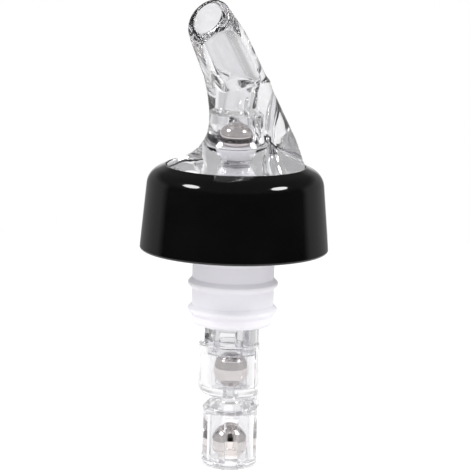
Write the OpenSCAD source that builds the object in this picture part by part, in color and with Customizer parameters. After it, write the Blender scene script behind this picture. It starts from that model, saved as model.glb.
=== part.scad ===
// Measured liquor pourer with three balls, in millimetres.
// The origin is on the cork's axis at the bottle's lip. +Z runs up to the spout, which pours towards +X.

/* [Balls] */
// Diameter of each steel ball
ball_d = 7.94; // [7:0.02:9]
// Gap between a ball and the wall of the bore that it runs in
ball_side_gap = 0.45; // [0.3:0.05:0.8]
// Gap left between a ball and each of its seats
ball_seat_gap = 0.06; // [0.03:0.01:0.15]
// Half angle of every conical ball seat
seat_angle = 45; // [40:1:50]
// How far a seat's face runs inside the line where the ball touches it
seat_inset = 0.3; // [0.2:0.05:0.6]
// How far a seat's face runs outside the line where the ball touches it
seat_outset = 0.55; // [0.3:0.05:0.7]

/* [Cork] */
// Diameter over the sealing rings, which the bottle's neck grips
ring_d = 20; // [19:0.1:23]
// How far each ring stands out of the cork
ring_rise = 0.9; // [0.6:0.1:1.2]
// Length of the cork below the bottle's lip
cork_len = 30.7; // [25:0.1:38]
// Number of sealing rings
ring_count = 4; // [2:1:4]
// Distance from one ring to the next
ring_pitch = 5.9; // [4:0.1:6.4]
// Height of the lowest ring above the end of the cork
ring_start = 3.4; // [2.8:0.1:5]
// Height of the cylindrical top of each ring
ring_land = 0.6; // [0.3:0.1:1]
// Height of the plain land under the cork's head
root_land = 2; // [1:0.1:3]
// Diameter of the cork's head
head_d = 30; // [25:0.5:33]
// Thickness of the cork's head
head_t = 1.6; // [1.2:0.1:2.4]
// Radius at the lower edge of the cork
cork_round = 1.2; // [0.5:0.1:2]

/* [Collar] */
// Diameter of the collar at its rim
collar_d = 42; // [39:0.5:48]
// Height of the collar from rim to top
collar_h = 19; // [15:0.1:24]
// Slope of the collar's side
collar_draft = 5.2; // [2:0.1:7]
// Wall of the collar
collar_wall = 1.7; // [1.2:0.1:2.2]
// Thickness of the shelf that carries the spout
shelf_t = 1.6; // [1.2:0.1:2.4]
// Height of the collar's lip above the spout's flange edge
lip_rise = 0.2; // [0.1:0.1:1]
// Slope of the collar's top
shoulder_slope = 24.5; // [15:0.5:35]
// Share of the sloping top that the rounded shoulder takes up
shoulder_share = 0.58; // [0.3:0.02:0.9]

/* [Spout] */
// Diameter of the spout's flange
flange_d = 30.8; // [27:0.1:32.4]
// Height of the flange's upright edge
flange_edge = 1.65; // [1:0.05:2]
// Slope of the flange's cone
flare_slope = 24.5; // [20:0.5:32]
// Radius where the cone runs into the upright chamber
flare_round = 6.9; // [4:0.1:8]
// Wall of the upright ball chamber
chamber_wall = 1.6; // [1.2:0.1:2]
// Gap between the spout ball and the wall of its chamber
chamber_side_gap = 0.63; // [0.45:0.01:0.9]
// Height of the bend above the underside of the flange
bend_h = 19.9; // [18:0.1:26]
// Lean of the pouring tube from upright
lean = 33; // [25:1:38]
// Length of the pouring tube from the bend to its mouth
pour_len = 19; // [15:0.1:24]
// How far the pouring tube stands out past the chamber's wall at the bend
bend_swell = 0.35; // [0.2:0.05:1]
// Outside diameter of the pouring tube at its mouth
pour_d_mouth = 11.4; // [10:0.1:12.4]
// Bore of the pouring tube at its mouth
pour_bore_d = 7; // [5:0.1:7.6]
// Distance that the bore's mouth lies in front of the pouring tube's axis
pour_bore_shift = 0.8; // [0:0.1:1]
// Bore of the pouring tube at the bend
bend_bore_d = 5.8; // [5:0.1:6.8]
// How far the rounded bend stands out past the bore
bend_step = 0.15; // [0.1:0.05:0.4]
// Drop from the bend to the start of the chamber's sloping roof
roof_drop = 6.6; // [5.6:0.1:7]
// Diameter of the throat above the chamber's roof
throat_d = 6.5; // [6.1:0.1:7]
// Slope of the mouth's face from level
mouth_slope = 56; // [45:1:62]
// Diameter of the air pocket behind the chamber
pocket_d = 3.2; // [2.6:0.1:3.4]
// Drop from the bend to the top of the air pocket
pocket_drop = 2.1; // [1.8:0.1:6]
// Diameter of the vent hole in the back
vent_d = 1.2; // [0.8:0.1:1.6]
// Drop from the top of the air pocket to the vent hole
vent_drop = 1.9; // [1.6:0.1:4]
// Width of each ball stop under the chamber's roof
stop_d = 2.3; // [1.8:0.1:2.6]
// Drop from the bend to the lower end of each ball stop
stop_drop = 7.8; // [6.8:0.1:8.2]
// Reach of each ball stop into the chamber
stop_reach = 1.55; // [1.2:0.05:1.8]
// Turn of each ball stop away from the pouring side
stop_turn = 135; // [115:5:150]

/* [Measuring tube] */
// Wall of the measuring tube
tube_wall = 1.63; // [1.3:0.01:2]
// Wall of the thinner ends that plug into the spout and the tail
spigot_wall = 1; // [0.7:0.05:1.2]
// Length of the end in the spout
spigot_top_len = 1.6; // [1.2:0.1:3]
// Length of the end in the tail
spigot_end_len = 2.2; // [1.5:0.1:3]
// Length of tube that shows between the cork and the tail
tube_show = 4.3; // [3.4:0.1:7]
// Number of inlet ports
port_count = 2; // [1:1:3]
// Turn from one inlet port to the next
port_step = 60; // [50:5:90]
// Width of each inlet port
port_w = 3.5; // [2:0.1:4]
// Height of each inlet port
port_h = 2.2; // [1.2:0.1:2.4]

/* [Valve seat] */
// Gap between the two balls when both are against the seat ring
balls_apart = 0.3; // [0.2:0.1:1.5]

/* [Tail] */
// How far the front half of the timing cup stands out past the tube
cup_step = 1.25; // [0.8:0.05:2]
// Length of the timing cup
cup_len = 11.7; // [10.5:0.1:15]
// Thickness of the cup's floor around the bleed hole
cup_floor = 1.95; // [1:0.05:3]
// Radius at the lower edge of the cup
cup_round = 2.2; // [0.5:0.1:2.4]
// Diameter of the timing bleed hole
bleed_d = 2.2; // [1.4:0.1:3]
// Open gap between the cup and the cage
tail_gap = 1.3; // [1:0.1:3]
// Wall of the ball cage
cage_wall = 1.82; // [1.4:0.02:2.2]
// Length of the ball cage with its cap
cage_len = 15.1; // [13.5:0.1:20]
// Thickness of the cage's lid
lid_t = 2.6; // [2.4:0.1:4]
// Chamfer around the cage's lid
lid_chamfer = 1.5; // [0.5:0.1:1.7]
// Number of slots in the cage
slot_count = 4; // [2:1:4]
// Width of each slot
slot_w = 2.8; // [1.5:0.1:3]
// Turn of the first slot away from the pouring side
slot_turn = 45; // [30:5:60]
// Length of cage wall above the slots
slot_drop = 0.6; // [0.3:0.1:1.5]
// Thickness of the cap's disc
cap_t = 1.7; // [1.4:0.1:2.5]
// Height of the cap's spigot inside the cage
cap_spigot = 0.8; // [0.5:0.1:2.5]
// Radius at the lower edge of the cap
cap_round = 1.4; // [0.5:0.1:1.4]
// Diameter of the drain hole in the cap
drain_d = 4.6; // [2:0.1:5]

/* [Breather] */
// Thickness of cork left on each side of the breather tube
air_web = 0.5; // [0.3:0.05:0.7]
// Wall of the breather tube
air_wall = 0.4; // [0.25:0.05:0.5]
// Length of the breather tube above the underside of the flange
air_rise = 2.8; // [1:0.1:5]
// Length of the breather tube in the air column
air_plug = 4; // [2:0.1:6]
// Wall of the tail's air column around the breather tube
column_wall = 0.65; // [0.45:0.05:0.9]

/* [Fits] */
// Gap all round a pressed or glued joint
joint_gap = 0.03; // [0.01:0.01:0.06]
// Gap all round a piece that only passes through another
pass_gap = 0.1; // [0.05:0.01:0.2]

/* [Hidden] */
$fn = 96;

// A cut runs this far past what it cuts
over = 1;
// A cutter that has to take in everything on one side reaches this far
far = 80;
// Straight steps in a rounded outline
arc_steps = 8;

clear_plastic = [0.90, 0.93, 0.95, 0.4];
black_plastic = [0.04, 0.04, 0.05];
white_plastic = [0.88, 0.88, 0.91];
steel = [0.75, 0.73, 0.72];

// Ball bores and seats
ball_r = ball_d / 2;
run_r = ball_r + ball_side_gap;
contact_r = ball_r * cos(seat_angle);
contact_drop = ball_r * sin(seat_angle);
seat_rise = 1 / tan(seat_angle);
seat_r = contact_r - seat_inset;
seat_mouth_r = contact_r + seat_outset;
seat_face_h = (seat_mouth_r - seat_r) * seat_rise;
// Height from the mouth of a seat to the centre of the ball that rests in it
ball_lift = contact_drop + ball_seat_gap - seat_outset * seat_rise;

// Round sizes of the tube and its sockets
tube_r = run_r + tube_wall;
spigot_r = run_r + spigot_wall;
socket_r = spigot_r + joint_gap;
chamber_r = ball_r + chamber_side_gap;
chamber_out_r = chamber_r + chamber_wall;
flange_r = flange_d / 2;
ring_r = ring_d / 2;
barrel_r = ring_r - ring_rise;
collar_r = collar_d / 2;
pour_r_bend = chamber_out_r + bend_swell;
pour_r_mouth = pour_d_mouth / 2;
pour_bore_r = pour_bore_d / 2;
bend_bore_r = bend_bore_d / 2;
throat_r = throat_d / 2;
pocket_r = pocket_d / 2;
cup_r = tube_r + cup_step;
cage_r = run_r + cage_wall;
cap_spigot_r = run_r - joint_gap;
bleed_r = bleed_d / 2;
drain_r = drain_d / 2;

// The air way, half way through the wall of the cork
air_pitch = (tube_r + barrel_r) / 2;
air_r = (barrel_r - tube_r) / 2 - air_web;
air_bore_r = air_r - air_wall;
column_r = air_r + column_wall;

// Heights above the bottle's lip
flange_z = head_t + shelf_t;
edge_z = flange_z + flange_edge;
collar_top_z = edge_z + lip_rise;
rim_z = collar_top_z - collar_h;
tube_top_z = flange_z + spigot_top_len;
seat_top_z = tube_top_z + ball_d + balls_apart - 2 * ball_lift;
bend_z = flange_z + bend_h;
roof_z = bend_z - roof_drop;
pocket_top_z = bend_z - pocket_drop;
vent_z = pocket_top_z - vent_drop;
cork_end_z = -cork_len;
cup_top_z = cork_end_z - tube_show;
tube_end_z = cup_top_z - spigot_end_len;
cup_end_z = cup_top_z - cup_len;
cup_floor_z = cup_end_z + cup_floor;
lid_top_z = cup_end_z - tail_gap;
lid_end_z = lid_top_z - lid_t;
cage_end_z = lid_top_z - cage_len;
cap_top_z = cage_end_z + cap_t;
cap_seat_z = cap_top_z + cap_spigot;

// Where each ball rests and where it stops
timing_rest_z = cup_floor_z + over_hole(bleed_r);
timing_stop_z = tube_top_z - ball_lift;
breather_rest_z = cap_seat_z + over_hole(drain_r);
breather_stop_z = lid_end_z - ball_lift;
stop_r = stop_d / 2;
stop_at = chamber_r - stop_reach + stop_r;
stop_ball_z = bend_z - stop_drop + stop_r;
stop_touch = ball_r + stop_r + ball_seat_gap;
spout_rest_z = seat_top_z + ball_lift;
spout_stop_z = stop_ball_z - sqrt(stop_touch * stop_touch - stop_at * stop_at);

echo(timing_rest = timing_rest_z, timing_travel = timing_stop_z - timing_rest_z);
echo(breather_rest = breather_rest_z, breather_travel = breather_stop_z - breather_rest_z);
echo(spout_rest = spout_rest_z, spout_travel = spout_stop_z - spout_rest_z);

// Height of a ball's centre over a flat floor where it rests on the edge of a round hole
function over_hole(r) = sqrt(pow(ball_r + ball_seat_gap, 2) - r * r);

// Points of an arc about (x, y) from one angle to another
function arc(x, y, r, from, to) =
    [for (i = [0 : arc_steps]) let (a = from + (to - from) * i / arc_steps) [x + r * cos(a), y + r * sin(a)]];

// A round bar or bore between two heights
module bar(r, low, high) {
    translate([0, 0, low]) cylinder(r = r, h = high - low);
}

// A cone between two heights
module taper(r_low, r_high, low, high) {
    translate([0, 0, low]) cylinder(r1 = r_low, r2 = r_high, h = high - low);
}

// Copies its child at each angle about the axis
module around(angles) {
    for (a = angles) rotate(a) children();
}

// A round bar on the air way's centre line, at the back
module air_bar(r, low, high) {
    translate([-air_pitch, 0, 0]) bar(r, low, high);
}

// Moves its child to the bend and leans it with the pouring tube
module at_bend() {
    translate([0, 0, bend_z]) rotate([0, lean, 0]) children();
}

// The pouring tube's outline, leaning from the bend
module leaning_tube(low, high) {
    growth = (pour_r_mouth - pour_r_bend) / pour_len;
    at_bend() taper(pour_r_bend + growth * low, pour_r_bend + growth * high, low, high);
}

// Ball chamber with a sloping roof, and the narrowing throat from there to the bend
module ball_chamber() {
    bar(chamber_r, flange_z, roof_z);
    taper(chamber_r, 0, roof_z, roof_z + chamber_r);
    taper(throat_r, bend_bore_r, roof_z, bend_z);
}

// Bore of the pouring tube, from the rounded bend out through the mouth
module pour_bore() {
    growth = (pour_bore_r - bend_bore_r) / pour_len;
    high = pour_len + pour_r_mouth;
    at_bend() {
        sphere(r = bend_bore_r + bend_step);
        rotate([0, atan(pour_bore_shift / pour_len), 0])
            taper(bend_bore_r, bend_bore_r + growth * high, 0, high);
    }
}

// Everything past the slanted face of the mouth
module mouth_cut() {
    at_bend() translate([0, 0, pour_len]) rotate([0, mouth_slope - lean, 0])
        translate([-far / 2, -far / 2, 0]) cube([far, far, far]);
}

// The back of the spout, where the pouring tube runs on down to the flange
module spout_back() {
    difference() {
        leaning_tube(-far / 2, pour_len + flange_r);
        mouth_cut();
        translate([-far, -far, flange_z - 2 * far]) cube([2 * far, 2 * far, 2 * far]);
        difference() {
            bar(far, flange_z - far, bend_z);
            bar(flange_r, flange_z - 2 * far, far);
        }
    }
}

// Flange, cone and upright chamber as one turned outline
module spout_foot() {
    turn_z = edge_z + (flange_r - chamber_out_r) * tan(flare_slope)
        + flare_round * (cos(flare_slope) - (1 - sin(flare_slope)) * tan(flare_slope));
    rotate_extrude() polygon(concat(
        [[0, flange_z], [flange_r, flange_z], [flange_r, edge_z]],
        arc(chamber_out_r + flare_round, turn_z, flare_round, 270 - flare_slope, 180),
        [[chamber_out_r, bend_z], [0, bend_z]]
    ));
}

// Round-topped air pocket between the chamber and the back wall, open at the flange's underside
module air_pocket() {
    dome_z = pocket_top_z - pocket_r;
    air_bar(pocket_r, flange_z - over, dome_z);
    translate([-air_pitch, 0, dome_z]) sphere(r = pocket_r);
}

// Round-ended stop under the chamber's roof that keeps the ball off the pouring bore
module ball_stop() {
    translate([stop_at, 0, 0]) {
        bar(stop_r, stop_ball_z, roof_z + stop_reach);
        translate([0, 0, stop_ball_z]) sphere(r = stop_r);
    }
}

module spout() {
    color(clear_plastic) union() {
        difference() {
            union() {
                spout_foot();
                spout_back();
            }
            bar(socket_r, flange_z - over, seat_top_z);
            ball_chamber();
            pour_bore();
            air_pocket();
            translate([-flange_r, 0, vent_z]) rotate([0, 90, 0])
                cylinder(r = vent_d / 2, h = flange_r - air_pitch);
        }
        around([stop_turn, -stop_turn]) ball_stop();
    }
}

module collar() {
    side_run = tan(collar_draft);
    fall = tan(shoulder_slope);
    shelf_in_r = tube_r + pass_gap;
    opening_r = flange_r + pass_gap;
    inner_r = collar_r - collar_wall;
    // Corner where the sloping top would meet the side
    corner_drop = (collar_r - collar_h * side_run - opening_r) * fall / (1 - side_run * fall);
    corner = [collar_r - (collar_h - corner_drop) * side_run, collar_top_z - corner_drop];
    side_out = [cos(collar_draft), sin(collar_draft)];
    top_out = [sin(shoulder_slope), cos(shoulder_slope)];
    turn = 90 - shoulder_slope - collar_draft;
    shoulder_r = shoulder_share * (corner.x - opening_r) / cos(shoulder_slope) / tan(turn / 2);
    middle = corner - shoulder_r * (side_out + top_out) / (1 + side_out * top_out);
    color(black_plastic) difference() {
        rotate_extrude() polygon(concat(
            [[shelf_in_r, flange_z], [shelf_in_r, head_t], [inner_r - (head_t - rim_z) * side_run, head_t]],
            [[inner_r, rim_z], [collar_r, rim_z]],
            arc(middle.x, middle.y, shoulder_r, collar_draft, 90 - shoulder_slope),
            [[opening_r, collar_top_z], [opening_r, flange_z]]
        ));
        air_bar(air_r + pass_gap, head_t - over, flange_z + over);
    }
}

// One sealing ring with sloping flanks
module seal_ring(z) {
    low = z - ring_land / 2;
    high = z + ring_land / 2;
    bar(ring_r, low, high);
    taper(barrel_r, ring_r, low - ring_rise, low);
    taper(ring_r, barrel_r, high, high + ring_rise);
}

module cork() {
    color(white_plastic) difference() {
        union() {
            bar(head_d / 2, 0, head_t);
            bar(ring_r, -root_land, 0);
            rotate_extrude() polygon(concat(
                [[0, 0], [0, cork_end_z]],
                arc(barrel_r - cork_round, cork_end_z + cork_round, cork_round, -90, 0),
                [[barrel_r, 0]]
            ));
            for (i = [0 : ring_count - 1]) seal_ring(cork_end_z + ring_start + i * ring_pitch);
        }
        bar(tube_r + joint_gap, cork_end_z - over, head_t + over);
        air_bar(air_r + joint_gap, cork_end_z - over, head_t + over);
    }
}

module measuring_tube() {
    port_z = (cork_end_z + cup_top_z) / 2;
    color(clear_plastic) difference() {
        union() {
            bar(tube_r, cup_top_z, flange_z);
            bar(spigot_r, tube_end_z, tube_top_z);
        }
        bar(run_r, tube_end_z - over, tube_top_z + over);
        around([for (i = [0 : port_count - 1]) (i - (port_count - 1) / 2) * port_step])
            translate([0, -port_w / 2, port_z - port_h / 2]) cube([far, port_w, port_h]);
    }
}

module valve_seat() {
    color(white_plastic) difference() {
        bar(spigot_r, tube_top_z, seat_top_z);
        bar(seat_r, tube_top_z - over, seat_top_z + over);
        taper(seat_mouth_r, seat_r, tube_top_z, tube_top_z + seat_face_h);
        taper(seat_r, seat_mouth_r, seat_top_z - seat_face_h, seat_top_z);
    }
}

// Column that carries the air way past the cup and joins the cup to the cage
module air_column() {
    web_start = run_r + cage_wall / 2;
    air_bar(column_r, lid_end_z, cork_end_z);
    translate([-air_pitch, -column_r, lid_end_z])
        cube([air_pitch - web_start, 2 * column_r, cup_top_z - lid_end_z]);
}

module timing_cup() {
    bar(cage_r, cup_end_z, cup_top_z);
    intersection() {
        rotate_extrude() polygon(concat(
            [[0, cup_top_z], [0, cup_end_z]],
            arc(cup_r - cup_round, cup_end_z + cup_round, cup_round, -90, 0),
            [[cup_r, cup_top_z]]
        ));
        translate([0, -far / 2, cup_end_z]) cube([far, far, cup_len]);
    }
}

module ball_cage() {
    bar(cage_r, cap_top_z, lid_top_z - lid_chamfer);
    taper(cage_r, cage_r - lid_chamfer, lid_top_z - lid_chamfer, lid_top_z);
}

module tail() {
    air_turn_z = lid_end_z + lid_t / 2;
    color(clear_plastic) difference() {
        union() {
            timing_cup();
            air_column();
            ball_cage();
        }
        // Timing cup: tube socket, ball bore and bleed hole
        bar(tube_r + joint_gap, cup_top_z, cork_end_z + over);
        bar(socket_r, tube_end_z, cup_top_z + over);
        bar(run_r, cup_floor_z, cup_top_z);
        bar(bleed_r, cup_end_z - tail_gap / 2, cup_floor_z + over);
        // Cage: ball bore, seat under the lid and slots
        bar(run_r, cap_top_z - over, lid_end_z);
        taper(seat_mouth_r, seat_r, lid_end_z, lid_end_z + seat_face_h);
        bar(seat_r, lid_end_z, air_turn_z + air_bore_r);
        around([for (i = [0 : slot_count - 1]) slot_turn + i * 360 / slot_count])
            translate([0, -slot_w / 2, cap_top_z - over])
                cube([far, slot_w, lid_end_z - slot_drop - cap_top_z + over]);
        // Air way: socket for the breather tube, bore down the column and turn into the lid
        air_bar(air_r + joint_gap, cork_end_z - air_plug, cork_end_z + over);
        air_bar(air_bore_r, air_turn_z, cork_end_z);
        translate([-air_pitch, 0, air_turn_z]) rotate([0, 90, 0]) cylinder(r = air_bore_r, h = air_pitch);
    }
}

module cage_cap() {
    color(clear_plastic) difference() {
        union() {
            rotate_extrude() polygon(concat(
                [[0, cap_top_z], [0, cage_end_z]],
                arc(cage_r - cap_round, cage_end_z + cap_round, cap_round, -90, 0),
                [[cage_r, cap_top_z]]
            ));
            bar(cap_spigot_r, cap_top_z, cap_seat_z);
        }
        bar(drain_r, cage_end_z - over, cap_seat_z + over);
    }
}

module breather_tube() {
    color(clear_plastic) difference() {
        air_bar(air_r, cork_end_z - air_plug, flange_z + air_rise);
        air_bar(air_bore_r, cork_end_z - air_plug - over, flange_z + air_rise + over);
    }
}

module ball(z) {
    color(steel) translate([0, 0, z]) sphere(r = ball_r);
}

module timing_ball() {
    ball(timing_rest_z);
}

module breather_ball() {
    ball(breather_rest_z);
}

module spout_ball() {
    ball(spout_rest_z);
}

spout();
collar();
cork();
measuring_tube();
valve_seat();
tail();
cage_cap();
breather_tube();
timing_ball();
breather_ball();
spout_ball();
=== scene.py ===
"""Looks of a measured liquor pourer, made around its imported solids."""

import math

import bmesh
import bpy
import numpy as np
from bpy.props import FloatProperty, FloatVectorProperty, PointerProperty
from mathutils import Matrix, Vector


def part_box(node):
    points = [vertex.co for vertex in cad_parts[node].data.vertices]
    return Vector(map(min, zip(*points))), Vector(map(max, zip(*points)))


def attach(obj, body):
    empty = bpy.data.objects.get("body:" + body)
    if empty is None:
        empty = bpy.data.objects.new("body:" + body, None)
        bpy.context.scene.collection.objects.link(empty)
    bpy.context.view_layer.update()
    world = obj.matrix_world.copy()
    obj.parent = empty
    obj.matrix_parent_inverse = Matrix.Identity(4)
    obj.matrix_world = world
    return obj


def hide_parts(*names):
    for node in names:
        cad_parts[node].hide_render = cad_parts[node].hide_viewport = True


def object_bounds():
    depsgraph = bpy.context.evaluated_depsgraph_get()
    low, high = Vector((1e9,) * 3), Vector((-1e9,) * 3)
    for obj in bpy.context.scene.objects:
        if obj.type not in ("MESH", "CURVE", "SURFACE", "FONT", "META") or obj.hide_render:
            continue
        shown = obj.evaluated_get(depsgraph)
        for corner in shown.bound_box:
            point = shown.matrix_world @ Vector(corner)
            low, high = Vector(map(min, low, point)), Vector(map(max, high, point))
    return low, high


bl_info = {
    "name": "Measured Liquor Pourer",
    "version": (1, 0, 0),
    "blender": (4, 5, 0),
    "location": "3D View > Sidebar > Pourer",
    "description": "Builds the spout, collar, stopper, ball tail and studio of a measured liquor pourer",
    "category": "Object",
}

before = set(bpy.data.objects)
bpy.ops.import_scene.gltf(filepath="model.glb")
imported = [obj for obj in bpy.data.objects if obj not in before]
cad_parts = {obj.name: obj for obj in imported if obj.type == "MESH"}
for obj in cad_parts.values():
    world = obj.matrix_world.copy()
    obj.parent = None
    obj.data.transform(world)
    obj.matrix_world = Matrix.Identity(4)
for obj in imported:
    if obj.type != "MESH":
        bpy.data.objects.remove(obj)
CAD_BOX = [list(corner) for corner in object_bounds()]

# Shapes are worked out in millimetres and made metres when a piece is finished
METRES = 0.001
TURN_STEPS = 128
BAR_STEPS = 64
SMALL_STEPS = 48
TINY_STEPS = 32
ROUND_STEPS = 6
WELD = 0.0005
FULL_TURN = 2 * math.pi
QUARTER_TURN = math.pi / 2
# Longest ray of a section and how often its end is halved
FAR = 40.0
HALVINGS = 24
# How far a cutter runs past the face that it opens
PAST = 1.0
# Steps and least angle of a softened edge, and the angle that stays crisp
SOFT_STEPS = 2
SOFT_ANGLE = math.radians(40)
CRISP_ANGLE = math.radians(32)
# Edge radii of the mouldings, from keen to full
KEEN = 0.1
FINE = 0.15
SOFT = 0.2
BROAD = 0.3
FULL = 0.4
# Colour sockets of a Mix node
MIX_A = 6
MIX_B = 7
MIX_RESULT = 2

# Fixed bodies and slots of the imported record
POURER = "pourer"
CLEAR = "clear_plastic"
BLACK = "black_plastic"
WHITE = "white_plastic"
STEEL = "steel"

# Finish that each slot gets
FINISHES = {
    CLEAR: "clear_moulding",
    BLACK: "gloss_black",
    WHITE: "milky_white",
    STEEL: "polished_steel",
}


def edge(node, corner, axis):
    """Height or reach of a node's box in millimetres."""
    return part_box(node)[corner][axis] / METRES


# Heights of the solids, read from the frame
FLANGE_Z = edge("spout", 0, 2)
SEAT_LOW_Z = edge("valve_seat", 0, 2)
SEAT_TOP_Z = edge("valve_seat", 1, 2)
COLLAR_RIM_Z = edge("collar", 0, 2)
COLLAR_TOP_Z = edge("collar", 1, 2)
HEAD_TOP_Z = edge("cork", 1, 2)
CORK_END_Z = edge("cork", 0, 2)
TUBE_END_Z = edge("measuring_tube", 0, 2)
TUBE_TOP_Z = edge("measuring_tube", 1, 2)
COLUMN_TOP_Z = edge("tail", 1, 2)
CAGE_END_Z = edge("cage_cap", 0, 2)
CAP_SEAT_Z = edge("cage_cap", 1, 2)
CAP_JOINT_Z = edge("tail", 0, 2)
BREATHER_LOW_Z = edge("breather_tube", 0, 2)
BREATHER_TOP_Z = edge("breather_tube", 1, 2)

# Reaches of the solids, read from the frame
COLLAR_R = edge("collar", 1, 0)
FLANGE_R = edge("spout", 1, 1)
HEAD_R = edge("cork", 1, 0)
TUBE_R = edge("measuring_tube", 1, 0)
SEAT_R = edge("valve_seat", 1, 0)
CUP_R = edge("tail", 1, 0)
CAGE_R = edge("cage_cap", 1, 0)
BALL_R = (edge("timing_ball", 1, 0) - edge("timing_ball", 0, 0)) / 2
AIR_R = edge("breather_tube", 1, 1)
AIR_X = edge("breather_tube", 0, 0) + AIR_R

# Room around a pressed piece, a loose piece and a running ball
PRESS_GAP = 0.03
LOOSE_GAP = 0.1
RUN_GAP = 0.45
# Air left between two faces that touch, so that glass shows the joint
FACE_GAP = 0.04

# Inner sizes of the mouldings
AIR_WALL = 0.4
RUN_R = BALL_R + RUN_GAP
SOCKET_R = SEAT_R + PRESS_GAP
SHELF_HOLE_R = TUBE_R + LOOSE_GAP
CORK_BORE_R = TUBE_R + PRESS_GAP
AIR_HOLE_R = AIR_R + PRESS_GAP
AIR_BORE_R = AIR_R - AIR_WALL
BARREL_R = 9.1
RING_R = 10.0
SEAT_BORE_R = 2.507
SEAT_MOUTH_R = 3.357
CUP_TOP_Z = -35.0
# Slope of the spout's foot, which the collar's shoulder carries on
FOOT_SLOPE = math.radians(24.5)


def rounded(corners, steps=ROUND_STEPS):
    """Outline through (x, z, radius) corners, each turned on its own radius."""
    points = []
    count = len(corners)
    for index, (x, z, radius) in enumerate(corners):
        here = Vector((x, z))
        if radius == 0:
            points.append(here)
            continue
        to_before = (Vector(corners[index - 1][:2]) - here).normalized()
        to_after = (Vector(corners[(index + 1) % count][:2]) - here).normalized()
        half = to_before.angle(to_after) / 2
        reach = radius / math.tan(half)
        centre = here + (to_before + to_after).normalized() * (radius / math.sin(half))
        first = here + to_before * reach - centre
        last = here + to_after * reach - centre
        for step in range(steps + 1):
            points.append(centre + first.lerp(last, step / steps).normalized() * radius)
    return points


def turned(outline, segments=TURN_STEPS):
    """Solid turned about the upright axis from a closed outline."""
    shape = bmesh.new()
    ring = [shape.verts.new((x, 0, z)) for x, z in outline]
    for start, end in zip(ring, ring[1:] + ring[:1]):
        shape.edges.new((start, end))
    bmesh.ops.spin(
        shape,
        geom=shape.verts[:] + shape.edges[:],
        cent=(0, 0, 0),
        axis=(0, 0, 1),
        angle=FULL_TURN,
        steps=segments,
        use_merge=True,
    )
    bmesh.ops.remove_doubles(shape, verts=shape.verts, dist=WELD)
    bmesh.ops.recalc_face_normals(shape, faces=shape.faces)
    if shape.calc_volume(signed=True) < 0:
        bmesh.ops.reverse_faces(shape, faces=shape.faces)
    return shape


def bar(radius, low, high, x=0.0, segments=BAR_STEPS):
    """Upright round bar, used as a body or as a cutter."""
    shape = bmesh.new()
    place = Matrix.Translation((x, 0, (low + high) / 2))
    bmesh.ops.create_cone(
        shape,
        cap_ends=True,
        segments=segments,
        radius1=radius,
        radius2=radius,
        depth=high - low,
        matrix=place,
    )
    return shape


def block(low, high, turn=0.0):
    """Square block between two corners, turned about the upright axis."""
    shape = bmesh.new()
    size = Vector(high) - Vector(low)
    middle = (Vector(high) + Vector(low)) / 2
    place = Matrix.Rotation(turn, 4, "Z") @ Matrix.Translation(middle) @ Matrix.Diagonal((*size, 1))
    bmesh.ops.create_cube(shape, size=1, matrix=place)
    return shape


def round_ended(radius, ball_z, end_z):
    """Upright bar that is round at one height and runs past another."""
    shape = bmesh.new()
    bmesh.ops.create_uvsphere(shape, u_segments=SMALL_STEPS, v_segments=SMALL_STEPS // 2, radius=radius)
    way = math.copysign(1, end_z - ball_z)
    far_half = [vert for vert in shape.verts if vert.co.z * way > WELD]
    bmesh.ops.translate(shape, vec=(0, 0, end_z - ball_z), verts=far_half)
    bmesh.ops.translate(shape, vec=(0, 0, ball_z), verts=shape.verts)
    return shape


def lofted(rings):
    """Closed skin extruded from ring to ring of points and back to the first."""
    shape = bmesh.new()
    ring = bmesh.ops.create_circle(shape, cap_ends=False, radius=1, segments=len(rings[0]))["verts"]
    place_ring(ring, rings[0])
    for points in rings[1:] + rings[:1]:
        sides = [shape.edges.get(pair) for pair in zip(ring, ring[1:] + ring[:1])]
        grown = set(bmesh.ops.extrude_edge_only(shape, edges=sides)["geom"])
        ring = [next(far for far in neighbours(vert) if far in grown) for vert in ring]
        place_ring(ring, points)
    bmesh.ops.remove_doubles(shape, verts=shape.verts, dist=WELD)
    bmesh.ops.recalc_face_normals(shape, faces=shape.faces)
    return shape


def place_ring(ring, points):
    """Moves a ring of vertices to a ring of points."""
    for vert, point in zip(ring, points):
        vert.co = point


def neighbours(vert):
    """Vertices at the far ends of a vertex's edges."""
    return [side.other_vert(vert) for side in vert.link_edges]


def work_object(shape):
    """Throw-away object that holds a shape while modifiers act on it."""
    mesh = bpy.data.meshes.new("work")
    shape.to_mesh(mesh)
    shape.free()
    holder = bpy.data.objects.new("work", mesh)
    bpy.context.scene.collection.objects.link(holder)
    return holder


def drop(holder):
    """Removes a throw-away object and its mesh."""
    mesh = holder.data
    bpy.data.objects.remove(holder)
    bpy.data.meshes.remove(mesh)


def combined(shape, steps, soften=0.0):
    """Shape after a row of (operation, other shape) steps, with its sharp edges softened."""
    holder = work_object(shape)
    tools = []
    for operation, other in steps:
        tool = work_object(other)
        tools.append(tool)
        cut = holder.modifiers.new("cut", "BOOLEAN")
        cut.operation = operation
        cut.solver = "EXACT"
        cut.object = tool
    if soften:
        weld = holder.modifiers.new("weld", "WELD")
        weld.merge_threshold = WELD
        round_off = holder.modifiers.new("round", "BEVEL")
        round_off.width = soften
        round_off.segments = SOFT_STEPS
        round_off.limit_method = "ANGLE"
        round_off.angle_limit = SOFT_ANGLE
    bpy.context.view_layer.update()
    graph = bpy.context.evaluated_depsgraph_get()
    mesh = bpy.data.meshes.new_from_object(holder.evaluated_get(graph))
    result = bmesh.new()
    result.from_mesh(mesh)
    bpy.data.meshes.remove(mesh)
    for used in [holder] + tools:
        drop(used)
    return result


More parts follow.
